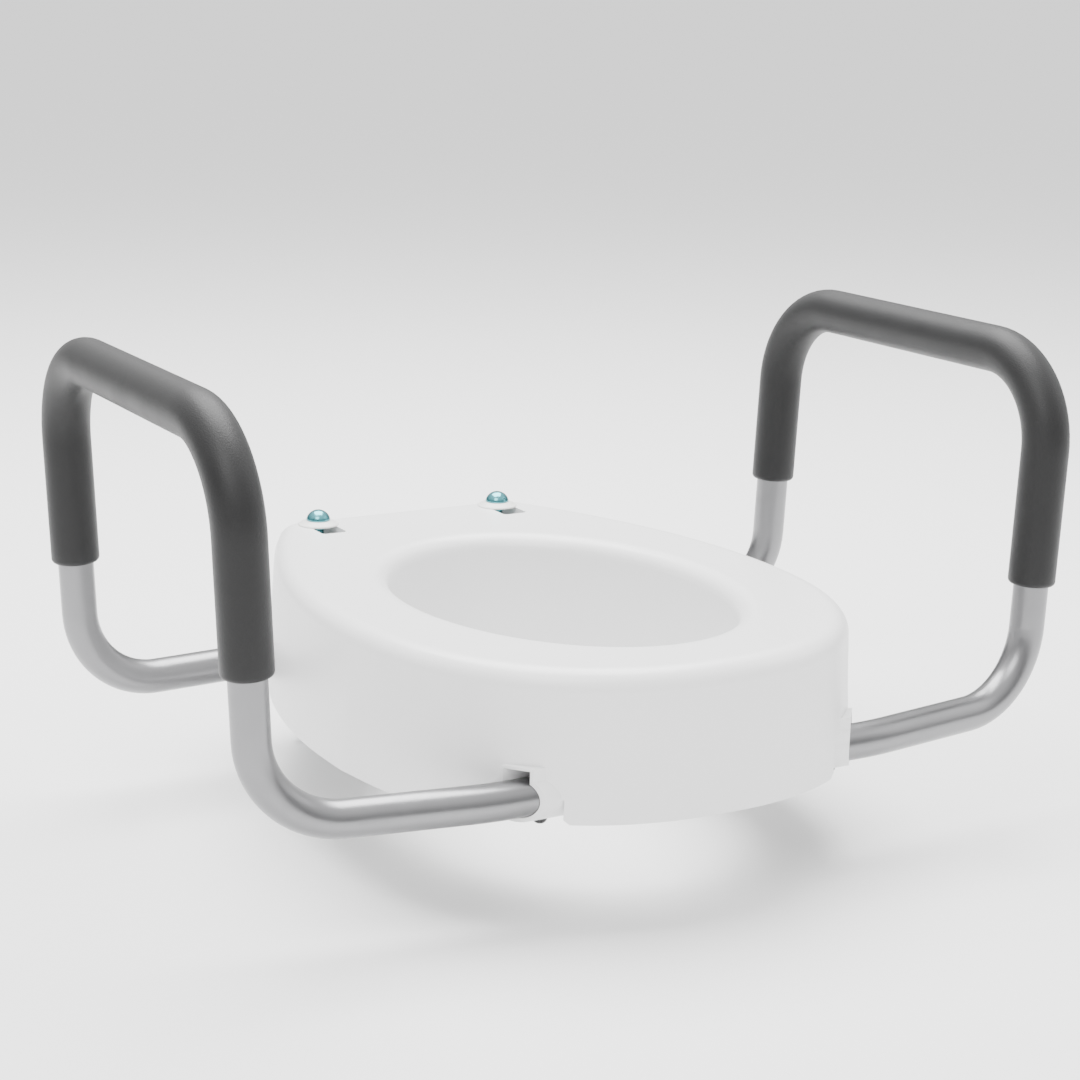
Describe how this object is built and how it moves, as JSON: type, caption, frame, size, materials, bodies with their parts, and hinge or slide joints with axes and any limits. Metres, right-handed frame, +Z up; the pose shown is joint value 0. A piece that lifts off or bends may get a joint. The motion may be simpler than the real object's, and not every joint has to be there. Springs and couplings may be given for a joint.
{
  "type": "raised toilet seat",
  "caption": "Raised toilet seat: a hollow oval riser with a central opening, bolted at its back, and padded U-shaped armrests that push into side sockets with spring buttons.",
  "frame": {"origin": "midway between the two seat bolts, on the plane of the bowl rim that the rubber pads rest on", "axes": "+Z up, -Y towards the nose of the seat, +X to the right as seen from in front of the nose"},
  "size_m": [0.579, 0.429, 0.313],
  "materials": {
    "riser_plastic": "satin moulded, white",
    "tube_aluminium": "satin anodised",
    "grip_foam": "closed-cell foam with a smooth skin, dark grey",
    "black_plastic": "smooth, black",
    "spring_steel": "rolled strip",
    "zinc_steel": "bright zinc plate with a blue tint",
    "white_nylon": "smooth, white",
    "pad_rubber": "soft, mid grey"
  },
  "bodies": {
    "riser": {"riser_body": "riser_plastic", "rubber_pad_front_left": "pad_rubber", "rubber_pad_front_right": "pad_rubber", "rubber_pad_rear_left": "pad_rubber", "rubber_pad_rear_right": "pad_rubber"},
    "handle_left": {"handle_tube_left": "tube_aluminium", "foam_grip_left": "grip_foam", "tube_end_plug_front_left": "black_plastic", "spring_leaf_front_left": "spring_steel", "tube_end_plug_rear_left": "black_plastic", "spring_leaf_rear_left": "spring_steel"},
    "button_front_left": {"snap_button_front_left": "black_plastic"},
    "button_rear_left": {"snap_button_rear_left": "black_plastic"},
    "bolt_left": {"seat_bolt_left": "zinc_steel", "top_washer_left": "white_nylon"},
    "washers_left": {"rubber_cone_washer_left": "pad_rubber", "steel_washer_left": "zinc_steel"},
    "nut_left": {"wing_nut_left": "white_nylon"},
    "handle_right": {"handle_tube_right": "tube_aluminium", "foam_grip_right": "grip_foam", "tube_end_plug_front_right": "black_plastic", "spring_leaf_front_right": "spring_steel", "tube_end_plug_rear_right": "black_plastic", "spring_leaf_rear_right": "spring_steel"},
    "button_front_right": {"snap_button_front_right": "black_plastic"},
    "button_rear_right": {"snap_button_rear_right": "black_plastic"},
    "bolt_right": {"seat_bolt_right": "zinc_steel", "top_washer_right": "white_nylon"},
    "washers_right": {"rubber_cone_washer_right": "pad_rubber", "steel_washer_right": "zinc_steel"},
    "nut_right": {"wing_nut_right": "white_nylon"}
  },
  "joints": [
    {"name": "handle_left_pull", "type": "slide", "parent": "riser", "child": "handle_left", "axis": [-1, 0, 0], "range_m": [0, 0.09], "deforming": ["snap_button_front_left", "spring_leaf_front_left", "snap_button_rear_left", "spring_leaf_rear_left"]},
    {"name": "button_front_left_press", "type": "slide", "parent": "handle_left", "child": "button_front_left", "axis": [0, 0, 1], "range_m": [0, 0.005], "stiffness_N_per_m": 800, "deforming": ["spring_leaf_front_left"]},
    {"name": "button_rear_left_press", "type": "slide", "parent": "handle_left", "child": "button_rear_left", "axis": [0, 0, 1], "range_m": [0, 0.005], "stiffness_N_per_m": 800, "deforming": ["spring_leaf_rear_left"]},
    {"name": "bolt_left_shift", "type": "slide", "parent": "riser", "child": "bolt_left", "axis": [0, 1, 0], "range_m": [-0.014, 0.004]},
    {"name": "washers_left_travel", "type": "slide", "parent": "bolt_left", "child": "washers_left", "axis": [0, 0, 1], "range_m": [-0.00375, 0.005]},
    {"name": "nut_left_turn", "type": "hinge", "parent": "washers_left", "child": "nut_left", "pos_m": [-0.06985, 0, -0.05], "axis": [0, 0, 1], "range_deg": [-1080, 1440]},
    {"name": "handle_right_pull", "type": "slide", "parent": "riser", "child": "handle_right", "axis": [1, 0, 0], "range_m": [0, 0.09], "deforming": ["snap_button_front_right", "spring_leaf_front_right", "snap_button_rear_right", "spring_leaf_rear_right"]},
    {"name": "button_front_right_press", "type": "slide", "parent": "handle_right", "child": "button_front_right", "axis": [0, 0, 1], "range_m": [0, 0.005], "stiffness_N_per_m": 800, "deforming": ["spring_leaf_front_right"]},
    {"name": "button_rear_right_press", "type": "slide", "parent": "handle_right", "child": "button_rear_right", "axis": [0, 0, 1], "range_m": [0, 0.005], "stiffness_N_per_m": 800, "deforming": ["spring_leaf_rear_right"]},
    {"name": "bolt_right_shift", "type": "slide", "parent": "riser", "child": "bolt_right", "axis": [0, 1, 0], "range_m": [-0.014, 0.004]},
    {"name": "washers_right_travel", "type": "slide", "parent": "bolt_right", "child": "washers_right", "axis": [0, 0, 1], "range_m": [-0.00375, 0.005]},
    {"name": "nut_right_turn", "type": "hinge", "parent": "washers_right", "child": "nut_right", "pos_m": [0.06985, 0, -0.05], "axis": [0, 0, 1], "range_deg": [-1080, 1440]}
  ],
  "couplings": [
    {"joint": "nut_left_turn", "follows": "washers_left_travel", "rad_per_m": 5026.5},
    {"joint": "nut_right_turn", "follows": "washers_right_travel", "rad_per_m": 5026.5}
  ]
}
